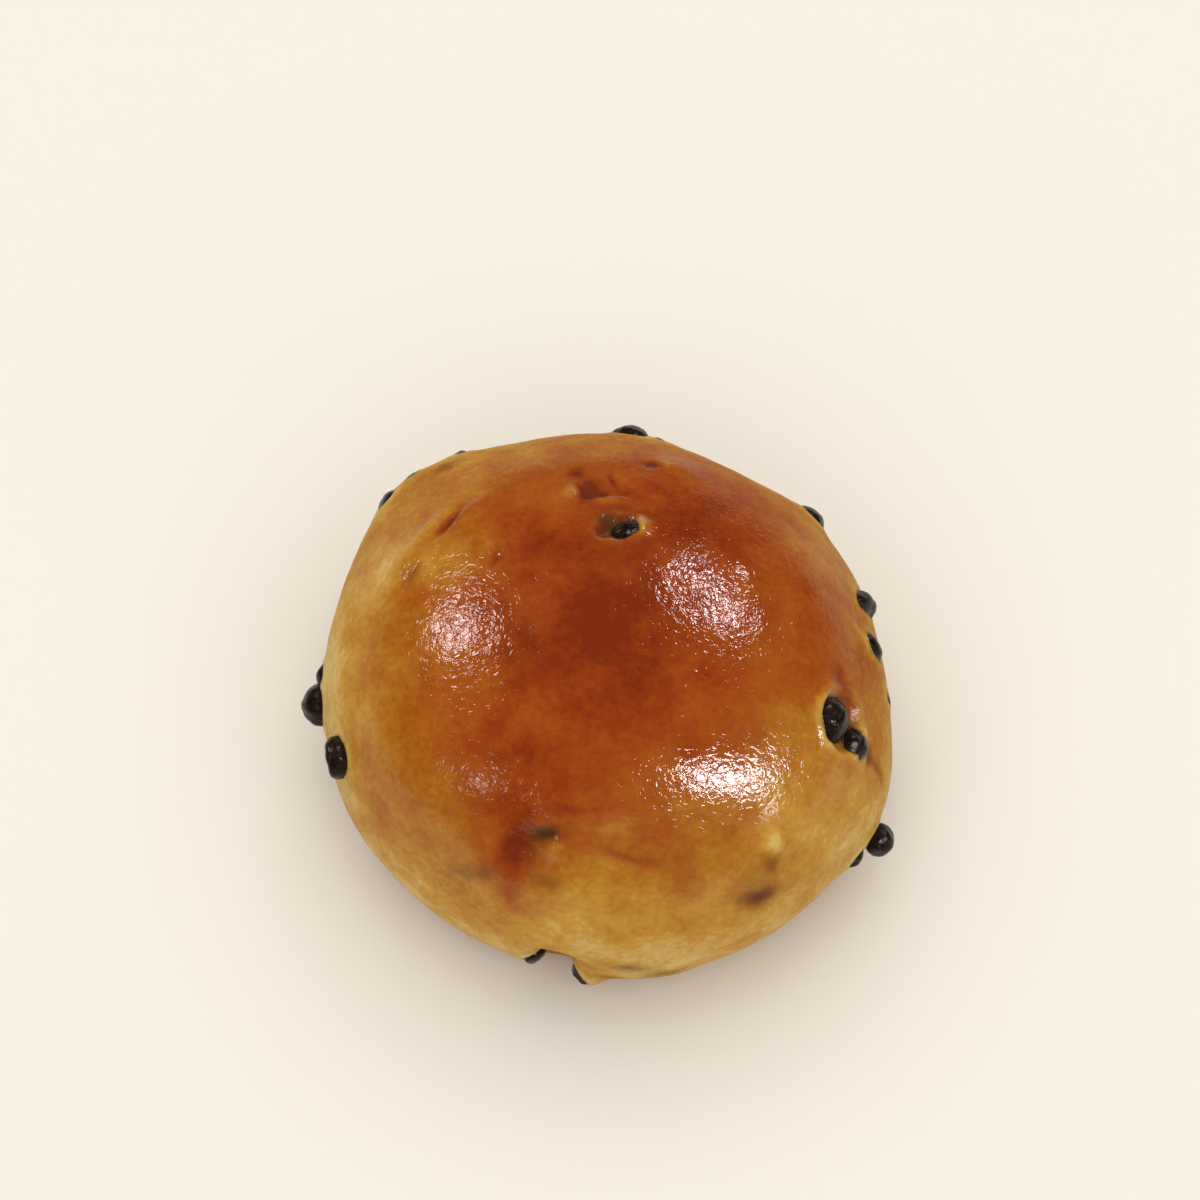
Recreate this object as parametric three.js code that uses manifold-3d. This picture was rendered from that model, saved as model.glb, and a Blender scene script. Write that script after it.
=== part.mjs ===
// A soft round bread roll with chocolate drops baked into it, in millimetres, +Z up.
// The roll is one solid: a domed crust on a flat foot, uneven as a hand-rolled roll is, with the
// drops fused into it where they break the skin. The origin is on the foot, under the middle of
// the roll's outer box. -Y is the side that faces the viewer and +X is the viewer's right.
//
// A place on the crust is two angles in degrees: azimuth, counted round from +X towards +Y, and
// down, which is 0 at the top, 90 at the widest ring and 180 where the flat foot begins.

import * as THREE from "three";
import { mergeVertices } from "three/addons/utils/BufferGeometryUtils.js";
import Module from "manifold-3d";

// The dough
const WIDTH = 94; // left to right at the widest ring, without drops
const DEPTH = 92.6; // front to back
const HEIGHT = 52;
const WIDEST_AT = 18; // height of the widest ring above the foot
const FOOT_SHARE = 0.8; // the flat foot's width, as a share of the widest ring's
const DOME_POWER = 2.15; // 2 is an ellipse; more is fuller at the shoulders
const OVAL = 0.012; // the roll is this share longer along OVAL_AZIMUTH than across it
const OVAL_AZIMUTH = 140;
const FOOT_FADE = 2.5; // relief dies away over this height above the foot
const AXIS_X = 1.51; // the dome stands here, so that the outer box is centred on the origin
const AXIS_Y = -0.85;

// The mesh of the crust
const SEGMENTS = 96;
const RINGS = 36; // from the top to the middle of the foot
const FOOT_RINGS = 2; // of those, the ones that lie flat in the foot

// A baking drop: a little cone with a rounded rim and a soft tip
const DROP_RADIUS = 3.7;
const DROP_HEIGHT = 5.0;
const DROP_SEGMENTS = 12;
const DROP_OUTLINE = [
  // share of the radius, share of the height
  [0, 0],
  [0.8, 0],
  [1, 0.2],
  [0.95, 0.5],
  [0.66, 0.8],
  [0.25, 0.96],
  [0, 1],
];

// Broad swells and hollows of the dough: azimuth, down, reach, rise
const SWELLS = [
  [134, 76, 15, 3.2], // the far left shoulder stands out
  [337, 97, 11, 1.7], // the near right flank too
  [64, 70, 13, -1.1], // the far right side is flatter
  [43, 74, 6, 0.7],
  [236, 88, 16, -0.9],
  [205, 50, 17, 0.5],
  [318, 44, 16, 0.5],
  [312, 98, 12, 0.7],
  [92, 28, 9, -1.1], // the skin has sunk here round two drops
  [250, 50, 5, -0.9], // and here, under a dark pucker
  [342, 55, 5, -1.1], // two drops lie in a hollow on the near right
  [8, 76, 12, -0.9], // the right side is flatter
  [259.5, 100, 3.3, -4.0], // a crease runs down the near flank between two drops
  [259.5, 113, 3.3, -4.3],
  [259.5, 127, 3.3, -3.8],
  [259.5, 142, 3.5, -3.6],
  [259.5, 155, 3.4, -2.4],
  [265.5, 124, 3.2, 1.4], // beside it the dough bulges
  [266, 140, 3.2, 1.0],
];

// Drops that show: azimuth, down, how far they stand out of the skin, how far the tip leans from
// straight out, which way it leans, and their size against a whole drop
const SHOWN_DROPS = [
  [177, 83, 1.1, 30, 180, 0.75],
  [182, 88, 3.5, 8, 0, 1.0],
  [199, 74, 3.5, 150, 150, 0.95],
  [85, 68, 1.9, 30, 180, 1.0],
  [79, 68, 0.6, 80, 180, 0.9],
  [140, 75, 1.1, 75, 90, 1.1],
  [133, 72, 0.8, 100, 90, 0.9],
  [123, 71, 0.6, 90, 90, 0.95],
  [41, 74, 1.4, 60, 200, 0.85],
  [17, 71, 2.2, 110, 90, 1.15],
  [7, 70, 1.5, 95, 80, 1.2],
  [358, 80, 0.5, 90, 90, 0.8],
  [342, 53, 2.5, 20, 80, 1.15],
  [340, 64, 1.3, 15, 120, 0.85],
  [333, 103, 4.2, 55, 180, 0.75],
  [328, 104, 1.1, 90, 60, 0.85],
  [254.5, 120, 1.7, 100, 90, 0.7],
  [265, 126, 1.0, 60, 270, 0.65],
  [77, 20, 0.5, 120, 30, 1.1],
];

// Drops just under the skin, which they lift: azimuth, down
const HIDDEN_DROPS = [
  [243, 62],
  [255, 45],
  [304, 71],
  [311, 60],
  [158, 47],
  [276, 104],
  [284, 108],
  [70, 44],
  [24, 30],
];
const HIDDEN_REACH = 4.2;
const HIDDEN_RISE = 0.7;

// Drops out of the viewer's sight are strewn by a rule
const EYE_ELEVATION = 66; // the viewer looks down on the roll at this angle
const UNSEEN_FACING = -0.14; // a place is out of sight if it faces the eye by less than this
const PROUD_FACING = 0.11; // and by this much less for each mm that its drop stands out
const STREWN_COUNT = 13;
const STREWN_SPACING = 12; // least distance between two drops
const STREWN_FROM = 66; // highest and lowest places, as angles down
const STREWN_TO = 134;
const STREWN_SEED = 11;
const GOLDEN_ANGLE = 137.508;

const CRUST_COLOUR = 0xb0682a;

const wasm = await Module();
wasm.setup();

// A small seeded random generator, so that each build is the same.
function randomFrom(seed) {
  let state = seed;
  return () => {
    state = (Math.imul(state, 1664525) + 1013904223) >>> 0;
    return state / 4294967296;
  };
}

// The smooth dome and rolled-under flank, before any unevenness.
function plainPoint(azimuthDeg, downDeg) {
  const azimuth = THREE.MathUtils.degToRad(azimuthDeg);
  const down = THREE.MathUtils.degToRad(downDeg);
  const across = Math.abs(Math.sin(down));
  const along = Math.abs(Math.cos(down));
  const onDome = downDeg <= 90;
  const reach = onDome
    ? across ** (2 / DOME_POWER)
    : FOOT_SHARE + (1 - FOOT_SHARE) * across;
  const height = onDome
    ? WIDEST_AT + (HEIGHT - WIDEST_AT) * along ** (2 / DOME_POWER)
    : WIDEST_AT * (1 - along);
  const turn = THREE.MathUtils.degToRad(azimuthDeg - OVAL_AZIMUTH);
  const plan = 1 + OVAL * Math.cos(2 * turn);
  return new THREE.Vector3(
    (WIDTH / 2) * plan * reach * Math.cos(azimuth),
    (DEPTH / 2) * plan * reach * Math.sin(azimuth),
    height,
  );
}

// The outward normal of the smooth form.
function plainNormal(azimuth, down) {
  const step = 0.25;
  const centred = THREE.MathUtils.clamp(down, step, 180 - step);
  const round = plainPoint(azimuth + step, centred).sub(
    plainPoint(azimuth - step, centred),
  );
  const along = plainPoint(azimuth, centred + step).sub(
    plainPoint(azimuth, centred - step),
  );
  return along.cross(round).normalize();
}

// Each bump or hollow as its centre, reach and rise.
const bumps = [
  ...SWELLS,
  ...HIDDEN_DROPS.map(([azimuth, down]) => [
    azimuth,
    down,
    HIDDEN_REACH,
    HIDDEN_RISE,
  ]),
].map(([azimuth, down, reach, rise]) => ({
  centre: plainPoint(azimuth, down),
  reach,
  rise,
}));

// How far the skin lies outside the smooth form at a point.
function reliefAt(point) {
  const fade = THREE.MathUtils.smoothstep(point.z, 0, FOOT_FADE);
  const sum = bumps.reduce((total, { centre, reach, rise }) => {
    const away = point.distanceTo(centre) / reach;
    return total + rise * Math.exp(-away * away);
  }, 0);
  return fade * sum;
}

function skinPoint(azimuth, down) {
  const point = plainPoint(azimuth, down);
  return point.addScaledVector(plainNormal(azimuth, down), reliefAt(point));
}

// A sphere's rings are led down the dome, round the flank and in under the foot.
function crustGeometry() {
  const geometry = new THREE.SphereGeometry(1, SEGMENTS, RINGS);
  const position = geometry.getAttribute("position");
  const lastRing = RINGS - FOOT_RINGS; // the ring on the foot's edge
  const vertex = new THREE.Vector3();
  for (let i = 0; i < position.count; i++) {
    vertex.fromBufferAttribute(position, i);
    const azimuth = THREE.MathUtils.radToDeg(Math.atan2(vertex.z, vertex.x));
    const polar = Math.acos(THREE.MathUtils.clamp(vertex.y, -1, 1));
    const ring = Math.round((polar / Math.PI) * RINGS);
    if (ring <= lastRing) {
      vertex.copy(skinPoint(-azimuth, (180 * ring) / lastRing));
    } else {
      const share = (RINGS - ring) / FOOT_RINGS;
      vertex.copy(skinPoint(-azimuth, 180)).multiplyScalar(share).setZ(0);
    }
    position.setXYZ(i, vertex.x, vertex.y, vertex.z);
  }
  return geometry;
}

function dropGeometry(size) {
  const outline = DROP_OUTLINE.map(
    ([across, up]) =>
      new THREE.Vector2(across * DROP_RADIUS * size, up * DROP_HEIGHT * size),
  );
  const drop = new THREE.LatheGeometry(outline, DROP_SEGMENTS);
  drop.translate(0, (-DROP_HEIGHT * size) / 2, 0);
  return drop;
}

// A drop set in the skin, with its highest part standing out by the given height.
function placedDrop([azimuth, down, proud, lean, leanTowards, size]) {
  const outward = plainNormal(azimuth, down);
  const upright = new THREE.Vector3(0, 1, 0); // the way the drop's tip points as made
  const sideways = new THREE.Vector3(0, 0, 1)
    .cross(outward)
    .normalize()
    .applyAxisAngle(outward, THREE.MathUtils.degToRad(leanTowards));
  const tip = outward
    .clone()
    .applyAxisAngle(sideways, THREE.MathUtils.degToRad(lean));
  const drop = dropGeometry(size);
  drop.applyQuaternion(new THREE.Quaternion().setFromUnitVectors(upright, tip));
  const position = drop.getAttribute("position");
  const corner = new THREE.Vector3();
  let highest = -Infinity;
  for (let i = 0; i < position.count; i++) {
    highest = Math.max(
      highest,
      corner.fromBufferAttribute(position, i).dot(outward),
    );
  }
  const seat = skinPoint(azimuth, down).addScaledVector(
    outward,
    proud - highest,
  );
  drop.translate(seat.x, seat.y, seat.z);
  return drop;
}

// Golden-angle places are tried in turn, and those out of sight and clear of the others taken.
function strewnDrops() {
  const random = randomFrom(STREWN_SEED);
  const elevation = THREE.MathUtils.degToRad(EYE_ELEVATION);
  const eye = new THREE.Vector3(0, -Math.cos(elevation), Math.sin(elevation));
  const taken = SHOWN_DROPS.map(([azimuth, down]) => plainPoint(azimuth, down));
  const strewn = [];
  for (let turn = 0; strewn.length < STREWN_COUNT; turn++) {
    const azimuth = (turn * GOLDEN_ANGLE) % 360;
    const down = STREWN_FROM + (STREWN_TO - STREWN_FROM) * random();
    const place = plainPoint(azimuth, down);
    const proud = 0.4 + 2 * random() ** 2;
    const limit = UNSEEN_FACING - PROUD_FACING * proud;
    const unseen = plainNormal(azimuth, down).dot(eye) < limit;
    const clear = taken.every(
      (other) => other.distanceTo(place) > STREWN_SPACING,
    );
    if (unseen && clear) {
      const lean = 180 * random();
      const leanTowards = 360 * random();
      const size = 0.8 + 0.3 * random();
      taken.push(place);
      strewn.push([azimuth, down, proud, lean, leanTowards, size]);
    }
  }
  return strewn;
}

// A closed geometry as a solid that can be joined to others.
function solidOf(geometry) {
  const bare = geometry.clone();
  bare.deleteAttribute("normal");
  bare.deleteAttribute("uv");
  const merged = mergeVertices(bare, 1e-4);
  return new wasm.Manifold(
    new wasm.Mesh({
      numProp: 3,
      vertProperties: Float32Array.from(merged.getAttribute("position").array),
      triVerts: Uint32Array.from(merged.index.array),
    }),
  );
}

function geometryOf(solid) {
  const mesh = solid.getMesh();
  return new THREE.BufferGeometry()
    .setAttribute(
      "position",
      new THREE.BufferAttribute(mesh.vertProperties, mesh.numProp),
    )
    .setIndex(new THREE.BufferAttribute(mesh.triVerts, 1));
}

const drops = [...SHOWN_DROPS, ...strewnDrops()].map(placedDrop);
const fused = drops.reduce(
  (roll, drop) => roll.add(solidOf(drop)),
  solidOf(crustGeometry()),
);
const rollGeometry = geometryOf(fused);
rollGeometry.translate(AXIS_X, AXIS_Y, 0);
rollGeometry.computeVertexNormals();

const breadRoll = new THREE.Mesh(
  rollGeometry,
  new THREE.MeshStandardMaterial({
    color: CRUST_COLOUR,
    roughness: 0.35,
    metalness: 0,
  }),
);
breadRoll.name = "bread_roll";

const part = new THREE.Group();
part.add(breadRoll);

export default part;
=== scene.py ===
"""A soft round bread roll with a glossy baked crust and chocolate drops, on a pale table.

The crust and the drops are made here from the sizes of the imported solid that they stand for, only
finer. A length is a number of millimetres times MM, which makes it the frame's metres.
A place on the crust is two angles in degrees: azimuth, counted round from +X towards +Y, and
down, which is 0 at the top, 90 at the widest ring and 180 where the flat foot begins.
"""

import math

import bpy
import numpy as np
from mathutils import Matrix, Vector, noise


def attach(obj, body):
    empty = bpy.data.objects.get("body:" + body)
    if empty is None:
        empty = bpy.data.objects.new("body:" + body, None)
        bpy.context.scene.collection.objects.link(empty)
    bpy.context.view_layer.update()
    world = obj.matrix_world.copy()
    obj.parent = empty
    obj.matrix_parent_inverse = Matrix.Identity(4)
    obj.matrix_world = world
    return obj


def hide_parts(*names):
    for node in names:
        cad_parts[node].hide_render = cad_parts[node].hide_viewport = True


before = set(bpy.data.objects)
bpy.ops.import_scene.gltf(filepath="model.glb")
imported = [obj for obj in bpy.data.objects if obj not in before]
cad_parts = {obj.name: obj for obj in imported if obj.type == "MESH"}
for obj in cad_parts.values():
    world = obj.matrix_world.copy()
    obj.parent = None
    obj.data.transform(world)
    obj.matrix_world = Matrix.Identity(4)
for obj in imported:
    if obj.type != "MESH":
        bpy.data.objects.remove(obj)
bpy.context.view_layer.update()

MM = 0.001
ROLL = "bread_roll"

# The dough
WIDTH = 94 * MM
DEPTH = 92.6 * MM
HEIGHT = 52 * MM
WIDEST_AT = 18 * MM
FOOT_SHARE = 0.8  # the flat foot's width, as a share of the widest ring's
DOME_POWER = 2.15  # 2 is an ellipse; more is fuller at the shoulders
OVAL = 0.012  # the roll is this share longer along OVAL_AZIMUTH than across it
OVAL_AZIMUTH = 140
FOOT_FADE = 2.5 * MM  # relief dies away over this height above the foot
AXIS = Vector((1.51, -0.85, 0)) * MM  # where the dome stands in the frame

# The mesh of the crust
SEGMENTS = 400
RINGS = 236
FOOT_RINGS = 8

# A baking drop: its outline from the middle of the base to the tip, as shares of its sizes
DROP_RADIUS = 3.7 * MM
DROP_HEIGHT = 5.0 * MM
DROP_SEGMENTS = 12
DROP_OUTLINE = [(0, 0), (0.8, 0), (1, 0.2), (0.95, 0.5), (0.66, 0.8), (0.25, 0.96), (0, 1)]
DROP_SMOOTHING = 2
DROP_GROWTH = 1.08  # smoothing shrinks a drop by about this much
LUMP_SIZE = 2.1 * MM
LUMP_RISE = 0.28 * MM
FINE_LUMP_SHARE = 0.4  # how high and how close finer lumps are, against those
FINE_LUMP_SCALE = 2.3

# Broad swells and hollows: azimuth, down, reach in mm, rise in mm
SWELLS = [
    (134, 76, 15, 3.2),
    (337, 97, 11, 1.7),
    (64, 70, 13, -1.1),
    (43, 74, 6, 0.7),
    (236, 88, 16, -0.9),
    (205, 50, 17, 0.5),
    (318, 44, 16, 0.5),
    (312, 98, 12, 0.7),
    (92, 28, 9, -1.1),
    (250, 50, 5, -0.9),
    (342, 55, 5, -1.1),
    (8, 76, 12, -0.9),
    (259.5, 100, 3.3, -4.0),
    (259.5, 113, 3.3, -4.3),
    (259.5, 127, 3.3, -3.8),
    (259.5, 142, 3.5, -3.6),
    (259.5, 155, 3.4, -2.4),
    (265.5, 124, 3.2, 1.4),
    (266, 140, 3.2, 1.0),
]

# Drops that show: azimuth, down, how far they stand out in mm, how far the tip leans from
# straight out, which way it leans, and their size against a whole drop
SHOWN_DROPS = [
    (177, 83, 1.1, 30, 180, 0.75),
    (182, 88, 3.5, 8, 0, 1.0),
    (199, 74, 3.5, 150, 150, 0.95),
    (85, 68, 1.9, 30, 180, 1.0),
    (79, 68, 0.6, 80, 180, 0.9),
    (140, 75, 1.1, 75, 90, 1.1),
    (133, 72, 0.8, 100, 90, 0.9),
    (123, 71, 0.6, 90, 90, 0.95),
    (41, 74, 1.4, 60, 200, 0.85),
    (17, 71, 2.2, 110, 90, 1.15),
    (7, 70, 1.5, 95, 80, 1.2),
    (358, 80, 0.5, 90, 90, 0.8),
    (342, 53, 2.5, 20, 80, 1.15),
    (340, 64, 1.3, 15, 120, 0.85),
    (333, 103, 4.2, 55, 180, 0.75),
    (328, 104, 1.1, 90, 60, 0.85),
    (254.5, 120, 1.7, 100, 90, 0.7),
    (265, 126, 1.0, 60, 270, 0.65),
    (77, 20, 0.5, 120, 30, 1.1),
]

# Drops just under the skin, which they lift: azimuth, down
HIDDEN_DROPS = [
    (243, 62),
    (255, 45),
    (304, 71),
    (311, 60),
    (158, 47),
    (276, 104),
    (284, 108),
    (70, 44),
    (24, 30),
]
HIDDEN_REACH = 4.2
HIDDEN_RISE = 0.7

# Drops out of the viewer's sight are strewn by a rule
VIEWER_AZIMUTH = -90
EYE_ELEVATION = 66  # the viewer looks down on the roll at this angle
UNSEEN_FACING = -0.14  # a place is out of sight if it faces the eye by less than this
PROUD_FACING = 0.11  # and by this much less for each mm that its drop stands out
STREWN_COUNT = 13
STREWN_SPACING = 12 * MM  # least distance between two drops
STREWN_FROM = 66  # highest and lowest places, as angles down
STREWN_TO = 134
STREWN_LEAST_PROUD = 0.4
STREWN_PROUD_RANGE = 2
STREWN_LEAST_SIZE = 0.8
STREWN_SIZE_RANGE = 0.3
STREWN_SEED = 11
GOLDEN_ANGLE = 137.508

# Openings in the skin with a raised rim: azimuth, down, half-length and half-width in mm, turn
# from level in degrees, depth and rise of the rim in mm, and how much browner and how much more
# stained by chocolate it is inside
OPENINGS = [
    (85, 20, 3.5, 3.0, 0, 1.5, 0.35, 0.25, 0.8),  # the open pucker near the top
    (342, 56, 5.0, 4.3, 58, 1.2, 0.7, 0.3, 0.3),  # the drops on the right lie in this one
]
OPENING_POWER = 3  # 2 is a soft hollow; more has steeper sides
RIM_PLACE = 1.15  # from the middle, as a share of the opening's half-sizes
RIM_REACH = 0.2
RIM_PALING = 0.25

# Small marks in the skin: azimuth, down, half-length and half-width in mm, turn from level in
# degrees, rise in mm, and how much browner and how much more stained by chocolate it is there.
# On the marks noted below, darker colour is painted shade and paler colour a painted highlight.
MARKS = [
    (71, 21, 1.3, 1.5, 0, 0.6, -0.3, 0.0),  # a lip of skin at the drop's right end
    (91, 23, 1.7, 1.4, 0, -0.4, 0.1, 0.6),
    (79, 24, 2.6, 1.2, 0, 0.0, 0.2, 0.0),
    (97, 32, 1.6, 2.4, 0, -1.0, 0.7, 0.25),  # the smaller pucker beyond it
    (99, 30, 1.3, 1.0, 20, -0.3, 0.3, 0.1),
    # The paler colour on this bump is a painted highlight; its rise is real.
    (102, 32, 1.8, 1.2, 0, 0.7, -0.35, 0.0),
    (90, 28, 4.0, 0.9, -5, 0.5, -0.32, 0.0),
    (92, 30, 0.9, 0.7, 0, -0.3, 0.3, 0.45),
    (88, 35, 0.5, 1.7, 10, -0.4, 0.3, 0.4),
    (100, 38, 1.5, 0.9, 20, -0.3, 0.35, 0.25),
    (77, 42, 1.3, 0.8, 0, -0.4, 0.4, 0.3),
    (73, 43, 0.8, 0.7, 0, 0.3, -0.3, 0.0),
    (74, 34, 3.5, 1.0, -20, 0.25, 0.14, 0.0),
    (80, 30, 3.2, 2.2, 0, -0.1, 0.1, 0.0),
    (142, 42, 3.3, 1.1, -8, -0.8, 0.5, 0.12),  # a crease on the far left shoulder
    (145, 45, 3.8, 1.3, -8, 0.5, -0.2, 0.0),
    (136, 40, 3.5, 1.2, -8, 0.3, 0.1, 0.0),
    (160, 43, 2.2, 1.6, 0, -0.2, 0.2, 0.35),
    (147, 25, 1.2, 0.9, 0, -0.25, 0.25, 0.1),
    (143, 28, 0.8, 0.8, 0, 0.2, -0.15, 0.0),
    (146, 31, 1.5, 0.8, 20, -0.2, 0.2, 0.0),
    (128, 62, 1.8, 1.3, 0, -0.2, 0.2, 0.35),
    (248, 54, 2.7, 4.6, 0, -0.7, 0.45, 0.0),  # the dark pucker at the near left
    (246, 52, 6.5, 6.5, 0, 0.0, 0.14, 0.0),
    (249, 67, 2.2, 6.0, 0, -0.15, 0.24, 0.0),
    (254.5, 47, 2.1, 1.2, 20, -0.5, 0.1, 1.3),
    # The paler colour on this small lump is a painted highlight; its rise is real.
    (257, 51, 1.3, 1.6, 0, 0.5, -0.2, 0.0),
    (252, 52, 1.3, 3.4, 0, -0.2, 0.0, 0.4),
    (257, 60, 1.8, 1.4, 0, -0.15, 0.05, 0.4),
    (238, 67, 3.4, 1.8, 30, 0.3, 0.0, 0.4),
    (243, 63, 1.5, 1.5, 0, -0.2, 0.1, 0.35),
    (271, 44, 2.0, 1.3, 0, 0.35, -0.24, 0.0),
    (275, 51, 5.6, 0.9, -20, -0.3, 0.2, 0.05),
    (262, 40, 4.0, 0.8, 8, -0.2, 0.18, 0.0),
    (309, 60, 1.8, 2.4, 0, 1.0, -0.22, 0.0),  # the drop under the skin at the near right
    # This mark paints the shadow under the lump above it, as browner, stained colour in a shallow
    # dip.
    (307, 65.5, 1.6, 2.0, -20, -0.5, 0.22, 0.4),
    (302, 73.5, 3.0, 1.9, -18, -0.3, 0.3, 0.85),
    (302, 67, 2.8, 2.4, 0, 0.2, 0.0, 0.25),
    (350, 54, 3.4, 1.5, 58, -0.3, 0.4, 0.0),
    (341, 60, 1.8, 1.5, 0, 0.0, 0.1, 0.9),
    (340, 70, 1.3, 1.0, 60, -0.4, 0.2, 0.8),
    (340, 77, 4.6, 0.8, 80, -0.5, 0.35, 0.3),
    (6, 64, 5.0, 1.0, 62, 0.4, -0.25, 0.0),
    (275, 92, 2.8, 1.6, -10, 0.2, 0.05, 0.65),
    (282, 103, 3.4, 1.1, 0, 0.1, 0.05, 0.55),
    (266, 98, 2.4, 1.5, 0, 0.1, 0.05, 0.3),
    # This mark paints a shadow line along the notch's upper edge.
    (259, 93, 2.6, 0.9, 0, 0.0, 0.1, 0.5),
    (277, 114, 7.0, 1.3, 0, 0.0, 0.3, 0.6),
    # This mark paints shade inside the notch, darkening it towards the stain colour.
    (259.5, 112, 2.2, 7.0, 0, 0.0, 0.3, 0.9),
]

# How brown the crust is, from 0, pale, to 1, at places on the way down
BROWNING = [
    (0, 0.93), (20, 0.80), (38, 0.62), (50, 0.46), (65, 0.34), (80, 0.20), (95, 0.10),
    (118, 0.12), (150, 0.34), (168, 0.52), (180, 0.46),
]
# Broad patches that are browner or paler: azimuth, down, reach in mm, change
PATCHES = [
    (265, 4, 10, 0.12),
    (247, 38, 11, 0.16),
    (50, 32, 12, 0.17),
    (75, 46, 11, 0.1),
    (3, 60, 17, 0.2),
    (190, 50, 14, -0.06),
    (178, 79, 11, -0.12),
    (325, 58, 13, -0.16),
    (152, 40, 9, -0.1),
    (155, 34, 5, -0.24),
    (165, 56, 8, -0.08),
    (178, 53, 6, 0.08),
    (181, 67, 6, -0.2),
    (161, 52, 7, -0.12),
    (236, 78, 7, 0.08),
    (247, 82, 7, 0.1),
    (300, 80, 8, 0.08),
    (334, 63, 5, 0.14),
    (50, 48, 8, 0.1),
    (285, 70, 12, -0.05),
    (215, 52, 7, 0.1),
    (240, 42, 8, 0.1),
    (286, 56, 7, 0.12),
    (290, 74, 6, 0.08),
    (262, 67, 7, -0.08),
    (335, 72, 8, 0.08),
    (219, 76, 7, 0.1),
]
MOTTLING = 0.12
MOTTLE_SIZE = 7 * MM
MOTTLE_SEED = 5
MARK_WANDER = 0.7 * MM  # the outlines of the marks wander by about this much
MARK_WANDER_SIZE = 2.4 * MM
MARK_WANDER_SEEDS = (11, 12, 13)
NOISE_SHIFTS = (17.3, 5.1, 9.7)  # each seed's noise lies this far from the last one's

# How much egg wash lies on the crust, at places on the way down, and where it is thinner
GLAZE = [(0, 1), (42, 1), (58, 0.6), (72, 0.22), (90, 0.08), (125, 0), (180, 0)]
THIN_GLAZE = [
    (92, 56, 20, -0.75),
    (45, 55, 15, -0.6),
    (135, 60, 16, -0.5),
    (0, 64, 13, -0.5),
    (180, 62, 12, -0.5),
    (97, 32, 3.4, -0.7),
    (91, 23, 2.6, -0.6),
    (309, 58, 5, -0.8),
    (271, 44, 4, -0.8),
    (255, 46, 3, -0.6),
]

# The skin rises a little against each drop and is paler there, and chocolate stains its edge
COLLAR_RISE = 0.3 * MM
COLLAR_REACH = 1.0 * MM
COLLAR_PALING = 0.2
STAIN_REACH = 0.3 * MM
STAIN_DEPTH = 0.6

# Uneven dough, as sizes and rises of noise
DOUGH_NOISE = [(16 * MM, 0.45 * MM), (5 * MM, 0.07 * MM), (1.9 * MM, 0.018 * MM)]

# The photograph's view, in its own frame of 1200 by 1200 pixels
PICTURE = 1200
PIXELS_PER_MM = 6.07
EYE_DISTANCE = 620 * MM
AIM_HEIGHT = 23.4 * MM
AIM_PIXEL = (607, 688)  # where the middle of the roll lies in the picture
SENSOR = 36

# Lamps: azimuth and elevation, angular width and height, turn, radiance, colour. Four make the
# highlights on the glaze. The key, the fill and the front lamp are soft and only light surfaces.
LAMP_DISTANCE = 2.5
HIGHLIGHT_LAMPS = {
    "far_left": (147, 44, 14, 8, 45, 19.5, (1.0, 0.93, 0.9)),
    "far_right": (51.5, 45.7, 15, 3.4, 0, 45, (1.0, 0.97, 0.98)),
    "near_right": (-34, 42, 34, 7.5, -57, 38, (1.0, 0.97, 1.0)),
    "near_left": (-143, 39, 7, 7, 50, 10, (1.0, 0.92, 0.9)),
}
SOFT_LAMPS = {
    "key": (90, 60, 50, 50, 0, 1.0, (1.0, 0.97, 0.94)),
    "fill": (0, 90, 120, 120, 0, 1.07, (1.0, 0.985, 0.97)),
    "front": (-90, 28, 90, 36, 0, 0.6, (1.0, 0.98, 0.96)),
}
ROOM_LIGHT = 0.06
ROOM_COLOUR = (1, 0.98, 0.95)

FLOOR_SIZE = 24
FLOOR_COLOUR = (0.82, 0.78, 0.70)


# ---------------------------------------------------------------- the form of the roll


def random_from(seed):
    """The next numbers between 0 and 1 of a small seeded generator."""
    multiplier, increment, modulus = 1664525, 1013904223, 2**32
    state = seed
    while True:
        state = (state * multiplier + increment) % modulus
        yield state / modulus


def plain_points(azimuth, down):
    """The smooth dome and rolled-under flank, before any unevenness."""
    turn = np.radians(azimuth)
    across = np.abs(np.sin(np.radians(down)))
    along = np.abs(np.cos(np.radians(down)))
    on_dome = np.asarray(down) <= 90
    reach = np.where(
        on_dome,
        across ** (2 / DOME_POWER),
        FOOT_SHARE + (1 - FOOT_SHARE) * across,
    )
    height = np.where(
        on_dome,
        WIDEST_AT + (HEIGHT - WIDEST_AT) * along ** (2 / DOME_POWER),
        WIDEST_AT * (1 - along),
    )
    plan = 1 + OVAL * np.cos(2 * (turn - math.radians(OVAL_AZIMUTH)))
    x = AXIS.x + WIDTH / 2 * plan * reach * np.cos(turn)
    y = AXIS.y + DEPTH / 2 * plan * reach * np.sin(turn)
    return np.stack((x, y, height), axis=-1)


def plain_normals(azimuth, down):
    """The outward normals of the smooth form."""
    step = 0.25
    centred = np.clip(down, step, 180 - step)
    level = plain_points(azimuth + step, centred) - plain_points(azimuth - step, centred)
    along = plain_points(azimuth, centred + step) - plain_points(azimuth, centred - step)
    normal = np.cross(along, level)
    return normal / np.linalg.norm(normal, axis=-1, keepdims=True)


def smoothstep(value, low, high):
    """Rises smoothly from 0 at low to 1 at high."""
    share = np.clip((value - low) / (high - low), 0, 1)
    return share * share * (3 - 2 * share)


def round_bumps(points, bumps):
    """The sum at each point of round bumps: azimuth, down, reach in mm and size."""
    total = np.zeros(len(points))
    for azimuth, down, reach, size in bumps:
        away = np.linalg.norm(points - plain_points(azimuth, down), axis=1) / (reach * MM)
        total += size * np.exp(-away * away)
    return total


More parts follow.
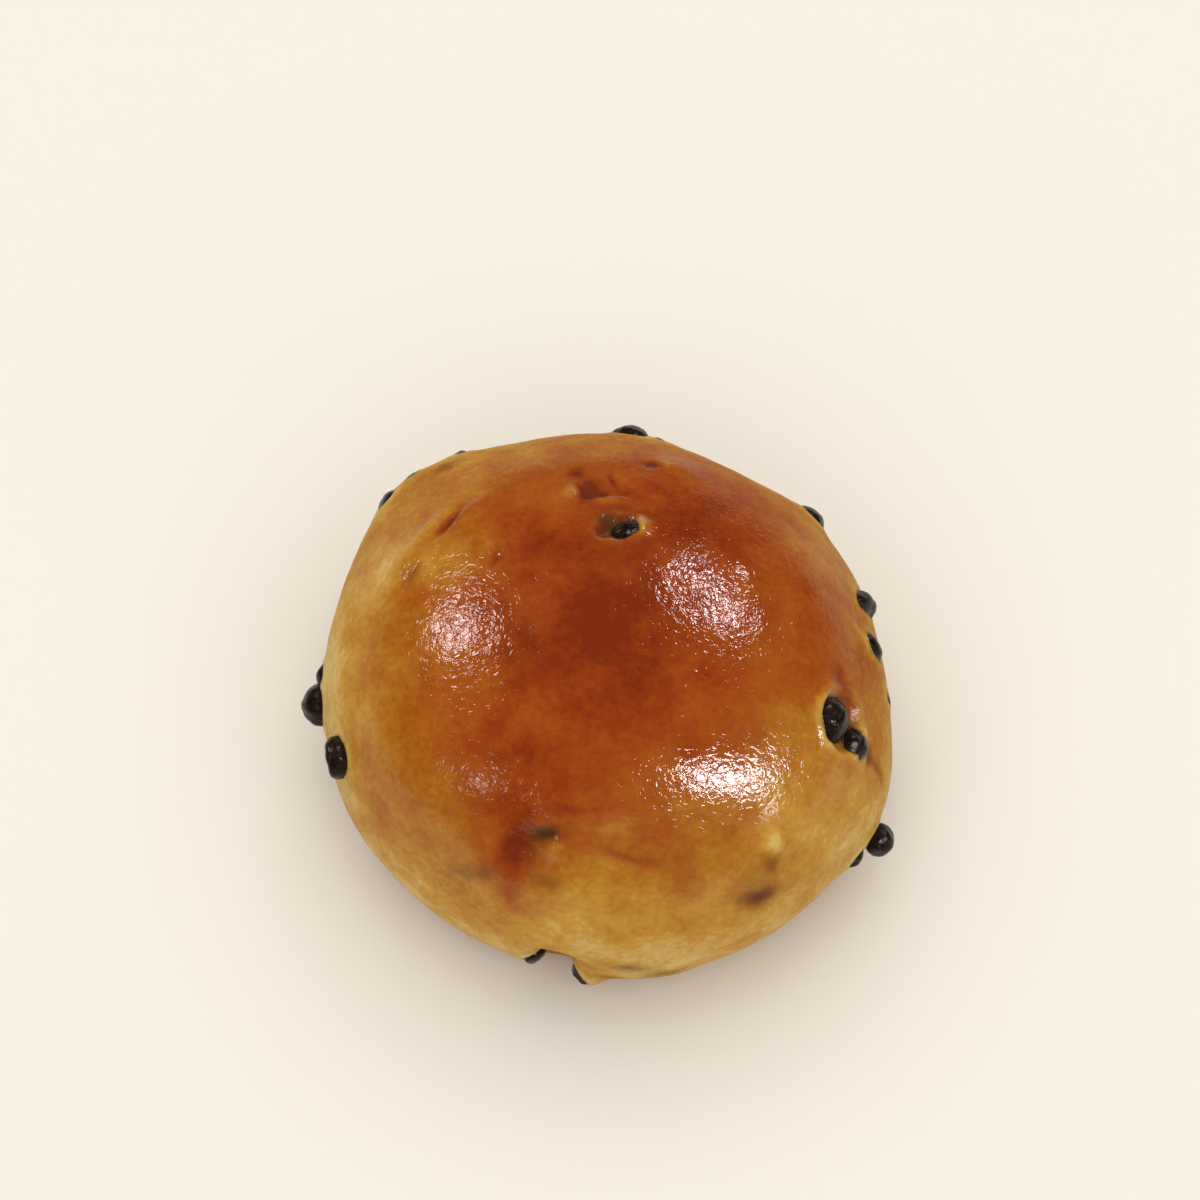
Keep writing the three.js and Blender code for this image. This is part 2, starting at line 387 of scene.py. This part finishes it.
def broad_relief(points):
    """How far the skin lies outside the smooth form, without its fine detail."""
    lifts = [(azimuth, down, HIDDEN_REACH, HIDDEN_RISE) for azimuth, down in HIDDEN_DROPS]
    fade = smoothstep(points[:, 2], 0, FOOT_FADE)
    return fade * round_bumps(points, SWELLS + lifts) * MM


def away_from_mark(points, azimuth, down, half_length, half_width, turn):
    """How far points lie from a mark's middle, as a share of its half-length and half-width."""
    centre = plain_points(azimuth, down)
    outward = Vector(plain_normals(azimuth, down))
    level = Vector((0, 0, 1)).cross(outward).normalized()
    level.rotate(Matrix.Rotation(math.radians(turn), 3, outward))
    across = outward.cross(level)
    offset = points - centre
    lengths = offset @ np.array(level) / (half_length * MM)
    widths = offset @ np.array(across) / (half_width * MM)
    depths = offset @ np.array(outward) / (half_length * MM)
    return np.sqrt(lengths**2 + widths**2 + depths**2)


def noise_at(points, size, seed=0):
    """Smooth noise of about -1 to 1 with patches of the given size."""
    shift = Vector([seed * apart for apart in NOISE_SHIFTS])
    return np.array([noise.noise(Vector(p) / size + shift) for p in points])


# ---------------------------------------------------------------- drops


def placed_drop(azimuth, down, proud, lean, lean_towards, size):
    """A drop's base centre, its tip's direction and its size, set in the skin."""
    outward = Vector(plain_normals(azimuth, down))
    sideways = Vector((0, 0, 1)).cross(outward).normalized()
    sideways.rotate(Matrix.Rotation(math.radians(lean_towards), 3, outward))
    tip = outward.copy()
    tip.rotate(Matrix.Rotation(math.radians(lean), 3, sideways))
    rise = tip.dot(outward)
    spread = math.sqrt(max(0, 1 - rise * rise))
    highest = max(
        (up - 0.5) * DROP_HEIGHT * size * rise + across * DROP_RADIUS * size * spread
        for across, up in DROP_OUTLINE
    )
    seat = plain_points(azimuth, down)
    seat = seat + np.array(outward) * broad_relief(seat[None])[0]
    centre = Vector(seat) + outward * (proud * MM - highest)
    base = centre - tip * (DROP_HEIGHT * size / 2)
    return base, tip, size


def strewn_drops():
    """Golden-angle places, taken where they are out of sight and clear of the others."""
    draw = random_from(STREWN_SEED)
    elevation = math.radians(EYE_ELEVATION)
    eye = np.array((0, -math.cos(elevation), math.sin(elevation)))
    taken = [plain_points(azimuth, down) for azimuth, down, *_ in SHOWN_DROPS]
    strewn = []
    turn = 0
    while len(strewn) < STREWN_COUNT:
        azimuth = (turn * GOLDEN_ANGLE) % 360
        down = STREWN_FROM + (STREWN_TO - STREWN_FROM) * next(draw)
        place = plain_points(azimuth, down)
        proud = STREWN_LEAST_PROUD + STREWN_PROUD_RANGE * next(draw) ** 2
        unseen = plain_normals(azimuth, down) @ eye < UNSEEN_FACING - PROUD_FACING * proud
        clear = all(np.linalg.norm(other - place) > STREWN_SPACING for other in taken)
        if unseen and clear:
            lean = 180 * next(draw)
            lean_towards = 360 * next(draw)
            size = STREWN_LEAST_SIZE + STREWN_SIZE_RANGE * next(draw)
            taken.append(place)
            strewn.append((azimuth, down, proud, lean, lean_towards, size))
        turn += 1
    return strewn


def revolved_faces(rings, segments, first=0):
    """Faces of a pole, rings of points round it and a last pole, numbered in that order."""
    ring = [
        [first + 1 + row * segments + column for column in range(segments)]
        for row in range(rings)
    ]
    last = first + 1 + rings * segments
    faces = []
    for column in range(segments):
        after = (column + 1) % segments
        faces.append((first, ring[0][column], ring[0][after]))
        for row in range(rings - 1):
            upper, lower = ring[row], ring[row + 1]
            faces.append((upper[column], lower[column], lower[after], upper[after]))
        faces.append((ring[-1][column], last, ring[-1][after]))
    return faces


def drop_points(base, tip, size):
    """The corners of a coarse drop, from the middle of its base to its tip."""
    turn = Vector((0, 0, 1)).rotation_difference(tip)
    points = []
    for across, up in DROP_OUTLINE:
        reach = across * DROP_RADIUS * size * DROP_GROWTH
        count = DROP_SEGMENTS if across else 1
        for step in range(count):
            angle = -math.tau * step / DROP_SEGMENTS
            corner = Vector((reach * math.cos(angle), reach * math.sin(angle), 0))
            corner.z = up * DROP_HEIGHT * size
            points.append(base + turn @ corner)
    return points


def chocolate_drops(drops):
    """All the drops as one mesh, smoothed and made lumpy."""
    points, faces = [], []
    for drop in drops:
        faces += revolved_faces(len(DROP_OUTLINE) - 2, DROP_SEGMENTS, len(points))
        points += drop_points(*drop)
    piece = piece_from("chocolate_drops", points, faces)
    smoothing = piece.modifiers.new("smoothing", "SUBSURF")
    smoothing.levels = DROP_SMOOTHING
    apply_modifiers(piece)
    outward = [vertex.normal.copy() for vertex in piece.data.vertices]
    for vertex, normal in zip(piece.data.vertices, outward):
        place = vertex.co / LUMP_SIZE
        lump = noise.noise(place) + FINE_LUMP_SHARE * noise.noise(place * FINE_LUMP_SCALE)
        vertex.co += normal * lump * LUMP_RISE
    return piece


def distance_to_drop(points, drop):
    """How far points lie from a drop's outline, negative inside it."""
    base, tip, size = drop
    offset = points - np.array(base)
    up = offset @ np.array(tip)
    across = np.sqrt(np.maximum(0, (offset**2).sum(axis=1) - up**2))
    place = np.stack((across, up), axis=1)
    outline = np.array(DROP_OUTLINE) * (DROP_RADIUS * size, DROP_HEIGHT * size)
    nearest = np.full(len(points), np.inf)
    inside = np.ones(len(points), bool)
    for start, end in zip(outline[:-1], outline[1:]):
        edge = end - start
        share = np.clip((place - start) @ edge / (edge @ edge), 0, 1)
        gap = np.linalg.norm(place - start - share[:, None] * edge, axis=1)
        nearest = np.minimum(nearest, gap)
        beside = (place - start) @ np.array((edge[1], -edge[0]))
        inside &= beside < 0
    return np.where(inside, -nearest, nearest)


# ---------------------------------------------------------------- meshes


def piece_from(name, points, faces):
    mesh = bpy.data.meshes.new(name)
    mesh.from_pydata([tuple(point) for point in points], [], faces)
    mesh.shade_smooth()
    piece = bpy.data.objects.new(name, mesh)
    bpy.context.scene.collection.objects.link(piece)
    return piece


def apply_modifiers(piece):
    """Keeps the mesh that the piece's modifiers make, and drops the modifiers."""
    graph = bpy.context.evaluated_depsgraph_get()
    made = bpy.data.meshes.new_from_object(piece.evaluated_get(graph))
    piece.modifiers.clear()
    piece.data = made


def write_attribute(piece, name, values):
    attribute = piece.data.attributes.new(name, "FLOAT", "POINT")
    attribute.data.foreach_set("value", np.asarray(values, np.float32))


def crust(drops):
    """The crust's fine mesh, with how brown, stained and glazed it is at each point.
    The brown and the stain also hold painted shade and painted highlights from a few marks.
    """
    rows, columns = np.meshgrid(
        np.arange(1, RINGS + 1) * 180 / RINGS,
        np.arange(SEGMENTS) * 360 / SEGMENTS,
        indexing="ij",
    )
    down = np.concatenate(([0], rows.ravel()))
    azimuth = np.concatenate(([0], columns.ravel()))
    smooth = plain_points(azimuth, down)
    normals = plain_normals(azimuth, down)

    fade = smoothstep(smooth[:, 2], 0, FOOT_FADE)
    rise = broad_relief(smooth)
    browning = np.interp(down, *zip(*BROWNING)) + round_bumps(smooth, PATCHES)
    stain = np.zeros(len(smooth))
    wander = [noise_at(smooth, MARK_WANDER_SIZE, seed) for seed in MARK_WANDER_SEEDS]
    wandering = smooth + MARK_WANDER * np.stack(wander, axis=1)
    for *place, depth, rim_rise, browner, darkened in OPENINGS:
        away = away_from_mark(wandering, *place)
        inside = np.exp(-(away**OPENING_POWER))
        rim = np.exp(-(((away - RIM_PLACE) / RIM_REACH) ** 2))
        rise += MM * (rim_rise * rim - depth * inside)
        browning += browner * inside - RIM_PALING * rim
        stain += darkened * inside
    # A few marks paint shade into the colour, darker and stained, and a few paint a highlight,
    # paler.
    for *place, height, browner, darkened in MARKS:
        felt = np.exp(-(away_from_mark(wandering, *place) ** 2))
        rise += height * MM * felt
        browning += browner * felt
        stain += darkened * felt
    for index, (size, height) in enumerate(DOUGH_NOISE):
        rise += fade * height * noise_at(smooth, size, index)
    browning += MOTTLING * noise_at(smooth, MOTTLE_SIZE, MOTTLE_SEED)
    points = smooth + normals * rise[:, None]

    for drop in drops:
        collar = np.exp(-((distance_to_drop(points, drop) / COLLAR_REACH) ** 2))
        points += normals * (fade * COLLAR_RISE * collar)[:, None]
        browning -= COLLAR_PALING * collar
    for drop in drops:
        stain += STAIN_DEPTH * np.exp(-((distance_to_drop(points, drop) / STAIN_REACH) ** 2))

    # The flat foot, from its edge to its middle
    edge = points[-SEGMENTS:]
    shares = np.arange(FOOT_RINGS - 1, 0, -1) / FOOT_RINGS
    centre = np.array(AXIS)
    foot = [centre + (edge - centre) * share * (1, 1, 0) for share in shares]
    points = np.concatenate((points, *foot, centre[None]))
    extra = len(points) - len(down)
    browning = np.concatenate((browning, np.full(extra, BROWNING[-1][1])))
    stain = np.concatenate((stain, np.zeros(extra)))
    glaze = np.interp(down, *zip(*GLAZE)) + round_bumps(smooth, THIN_GLAZE)
    glaze = np.concatenate((np.clip(glaze, 0, 1), np.zeros(extra)))

    piece = piece_from("crust", points, revolved_faces(RINGS + FOOT_RINGS - 1, SEGMENTS))
    write_attribute(piece, "browning", browning)
    write_attribute(piece, "stain", stain)
    write_attribute(piece, "glaze", glaze)
    return piece


# ---------------------------------------------------------------- finishes


class Value:
    """A node's output on which Python's arithmetic adds Math nodes."""

    def __init__(self, finish, socket):
        self.finish = finish
        self.socket = socket

    def math(self, operation, *values):
        return self.finish.node(
            "ShaderNodeMath", {"operation": operation}, dict(enumerate(values))
        )

    def __add__(self, other):
        return self.math("ADD", self, other)

    __radd__ = __add__

    def __sub__(self, other):
        return self.math("SUBTRACT", self, other)

    def __rsub__(self, other):
        return self.math("SUBTRACT", other, self)

    def __mul__(self, other):
        return self.math("MULTIPLY", self, other)

    __rmul__ = __mul__

    def clamped(self):
        return self.math("MAXIMUM", self.math("MINIMUM", self, 1), 0)


class Finish:
    """A material, with one method that adds any node."""

    def __init__(self, name, **constants):
        self.material = bpy.data.materials.new(name)
        self.material.use_nodes = True
        self.tree = self.material.node_tree
        self.shader = self.tree.nodes["Principled BSDF"]
        for socket, value in constants.items():
            self.shader.inputs[socket.replace("_", " ")].default_value = value

    def node(self, kind, settings=None, sockets=None, output=0):
        node = self.tree.nodes.new(kind)
        for name, setting in (settings or {}).items():
            if name == "stops":
                self.set_stops(node.color_ramp.elements, setting)
            else:
                setattr(node, name, setting)
        for socket, value in (sockets or {}).items():
            self.feed(node.inputs[socket], value)
        return Value(self, node.outputs[output])

    def feed(self, socket, value):
        if isinstance(value, Value):
            self.tree.links.new(value.socket, socket)
        else:
            socket.default_value = value

    def set_stops(self, elements, stops):
        for extra in stops[2:]:
            elements.new(extra[0])
        for element, (place, colour) in zip(elements, stops):
            element.position = place
            element.color = (*colour, 1)

    def attribute(self, name):
        return self.node("ShaderNodeAttribute", {"attribute_name": name}, output=2)

    def noise(self, size, detail, distortion=0):
        place = self.node("ShaderNodeTexCoord", output=3)
        return self.node(
            "ShaderNodeTexNoise",
            sockets={
                "Vector": place,
                "Scale": 1 / size,
                "Detail": detail,
                "Distortion": distortion,
            },
        )

    def ramp(self, value, stops):
        return self.node("ShaderNodeValToRGB", {"stops": stops}, {0: value})

    def mix(self, share, first, second):
        colours = [c if isinstance(c, Value) else (*c, 1) for c in (first, second)]
        return self.node(
            "ShaderNodeMix",
            {"data_type": "RGBA"},
            {0: share, 6: colours[0], 7: colours[1]},
            output=2,
        )

    def relief(self, height):
        """A normal from a height in millimetres."""
        return self.node("ShaderNodeBump", sockets={"Distance": MM, "Height": height})

    def cover(self, piece, **sockets):
        """Feeds the shader's sockets and puts the material on a piece."""
        for socket, value in sockets.items():
            self.feed(self.shader.inputs[socket.replace("_", " ")], value)
        piece.data.materials.clear()
        piece.data.materials.append(self.material)

    def overlay(self, share, upper):
        """Lays a second shader over the first, as strongly as the share says."""
        lower = Value(self, self.shader.outputs[0])
        both = self.node("ShaderNodeMixShader", sockets={0: share, 1: lower, 2: upper})
        self.feed(self.tree.nodes["Material Output"].inputs["Surface"], both)


# Colours by how brown the crust is
CRUST_COLOURS = [
    (0.0, (0.68, 0.475, 0.155)),
    (0.2, (0.55, 0.285, 0.034)),
    (0.4, (0.43, 0.162, 0.012)),
    (0.6, (0.35, 0.085, 0.005)),
    (0.8, (0.29, 0.045, 0.002)),
    (1.0, (0.185, 0.02, 0.0007)),
]
# This colour of chocolate stains is also the colour of the painted shade on a few marks.
STAIN_AND_SHADE_COLOUR = (0.07, 0.026, 0.004)
FRECKLE_SIZE = 1.1 * MM
FRECKLING = 0.3
CLOUD_SIZE = 4 * MM
CLOUDING = 0.36
WRINKLE_SIZE = 1.25 * MM
WRINKLE_HEIGHT = 0.115  # this and the next heights and depths are in mm
WRINKLE_TWIST = 1.2
FINE_WRINKLE_SIZE = 0.45 * MM
FINE_WRINKLE_HEIGHT = 0.012
BARE_ROUGHNESS = 0.62
BARE_UNEVENNESS = 0.2
EGG_WASH_ROUGHNESS = 0.11
EGG_WASH_UNEVENNESS = 0.12

CHOCOLATE_COLOURS = [(0.4, (0.009, 0.0042, 0.0026)), (0.8, (0.026, 0.012, 0.007))]
BLOOM_SIZE = 1.6 * MM
PIT_SIZE = 0.7 * MM
PIT_DEPTH = 0.12
CHOCOLATE_ROUGHNESS = 0.12
CHOCOLATE_UNEVENNESS = 0.24


def glaze_crust(piece):
    """Bare baked crust, with a shiny skin of egg wash over its top."""
    finish = Finish("baked_crust", IOR=1.5, Specular_IOR_Level=0.1)
    browning = finish.attribute("browning")
    stain = finish.attribute("stain")
    glaze = finish.attribute("glaze")
    speckle = finish.noise(FRECKLE_SIZE, detail=3) - 0.5
    cloud = finish.noise(CLOUD_SIZE, detail=3) - 0.5
    shade = (browning + FRECKLING * speckle + CLOUDING * cloud).clamped()
    # The colour holds painted shade and painted highlights from a few marks, besides browning and
    # stains.
    colour = finish.mix(stain.clamped(), finish.ramp(shade, CRUST_COLOURS), STAIN_AND_SHADE_COLOUR)
    wrinkles = finish.noise(WRINKLE_SIZE, detail=2, distortion=WRINKLE_TWIST)
    fine = finish.noise(FINE_WRINKLE_SIZE, detail=1)
    normal = finish.relief(WRINKLE_HEIGHT * wrinkles + FINE_WRINKLE_HEIGHT * fine)
    roughness = BARE_ROUGHNESS + BARE_UNEVENNESS * speckle
    finish.cover(piece, Base_Color=colour, Roughness=roughness, Normal=normal)
    wet_roughness = EGG_WASH_ROUGHNESS + EGG_WASH_UNEVENNESS * speckle
    egg_wash = finish.node(
        "ShaderNodeBsdfPrincipled",
        sockets={"Base Color": colour, "Roughness": wet_roughness, "Normal": normal},
    )
    finish.overlay(glaze, egg_wash)


def bake_chocolate(piece):
    """Dark chocolate with a soft sheen and a faint grey bloom."""
    finish = Finish("dark_chocolate", IOR=1.33, Specular_IOR_Level=0.35)
    bloom = finish.noise(BLOOM_SIZE, detail=3)
    pits = finish.noise(PIT_SIZE, detail=2)
    finish.cover(
        piece,
        Base_Color=finish.ramp(bloom, CHOCOLATE_COLOURS),
        Roughness=CHOCOLATE_ROUGHNESS + CHOCOLATE_UNEVENNESS * bloom,
        Normal=finish.relief(PIT_DEPTH * pits),
    )


def plain_floor():
    half = FLOOR_SIZE / 2
    corners = [(-half, -half, 0), (half, -half, 0), (half, half, 0), (-half, half, 0)]
    floor = piece_from("floor", corners, [(0, 1, 2, 3)])
    finish = Finish(
        "pale_table", Base_Color=(*FLOOR_COLOUR, 1), Roughness=0.9, Specular_IOR_Level=0.1
    )
    finish.cover(floor)


# ---------------------------------------------------------------- light and view


def direction(azimuth, elevation):
    turn, rise = math.radians(azimuth), math.radians(elevation)
    level = math.cos(rise)
    return Vector((math.cos(turn) * level, math.sin(turn) * level, math.sin(rise)))


def area_lamp(name, azimuth, elevation, wide, high, turn, radiance, colour):
    """A rectangular lamp that faces the roll, of the given width and height in degrees."""
    width, height = (
        2 * LAMP_DISTANCE * math.tan(math.radians(angle) / 2) for angle in (wide, high)
    )
    place = AXIS + direction(azimuth, elevation) * LAMP_DISTANCE
    data = bpy.data.lights.new(name, "AREA")
    data.shape = "RECTANGLE"
    data.size = width
    data.size_y = height
    data.color = colour
    data.energy = radiance * math.pi * width * height
    lamp = bpy.data.objects.new(name, data)
    facing = (AXIS - place).to_track_quat("-Z", "Y").to_matrix()
    lamp.matrix_world = Matrix.Translation(place) @ (
        facing @ Matrix.Rotation(math.radians(turn), 3, "Z")
    ).to_4x4()
    bpy.context.scene.collection.objects.link(lamp)
    return lamp


def studio_light():
    for name, settings in HIGHLIGHT_LAMPS.items():
        area_lamp(name, *settings).visible_diffuse = False
    for name, settings in SOFT_LAMPS.items():
        area_lamp(name, *settings).visible_glossy = False
    world = bpy.data.worlds.new("soft_room")
    world.use_nodes = True
    background = world.node_tree.nodes["Background"]
    background.inputs["Color"].default_value = (*ROOM_COLOUR, 1)
    background.inputs["Strength"].default_value = ROOM_LIGHT
    bpy.context.scene.world = world
    bpy.context.scene.view_settings.view_transform = "Standard"


def photograph_camera():
    """Looks down at the roll's middle, which lies a little off the picture's centre."""
    focal_pixels = PIXELS_PER_MM * EYE_DISTANCE / MM
    data = bpy.data.cameras.new("camera")
    data.sensor_width = SENSOR
    data.lens = SENSOR * focal_pixels / PICTURE
    back = direction(VIEWER_AZIMUTH, EYE_ELEVATION)
    right = Vector((1, 0, 0))
    up = back.cross(right)
    aside = (AIM_PIXEL[0] - PICTURE / 2) / focal_pixels
    above = (PICTURE / 2 - AIM_PIXEL[1]) / focal_pixels
    axis = -back - right * aside - up * above
    camera = bpy.data.objects.new("camera", data)
    place = AXIS + Vector((0, 0, AIM_HEIGHT)) + back * EYE_DISTANCE
    facing = axis.to_track_quat("-Z", "Y").to_matrix().to_4x4()
    camera.matrix_world = Matrix.Translation(place) @ facing
    bpy.context.scene.collection.objects.link(camera)
    bpy.context.scene.camera = camera


drops = [placed_drop(*drop) for drop in SHOWN_DROPS + strewn_drops()]
roll_crust = crust(drops)
glaze_crust(roll_crust)
roll_drops = chocolate_drops(drops)
bake_chocolate(roll_drops)
for piece, slot in ((roll_crust, "crust"), (roll_drops, "chocolate")):
    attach(piece, "root")
    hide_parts(ROLL)
plain_floor()
studio_light()
photograph_camera()
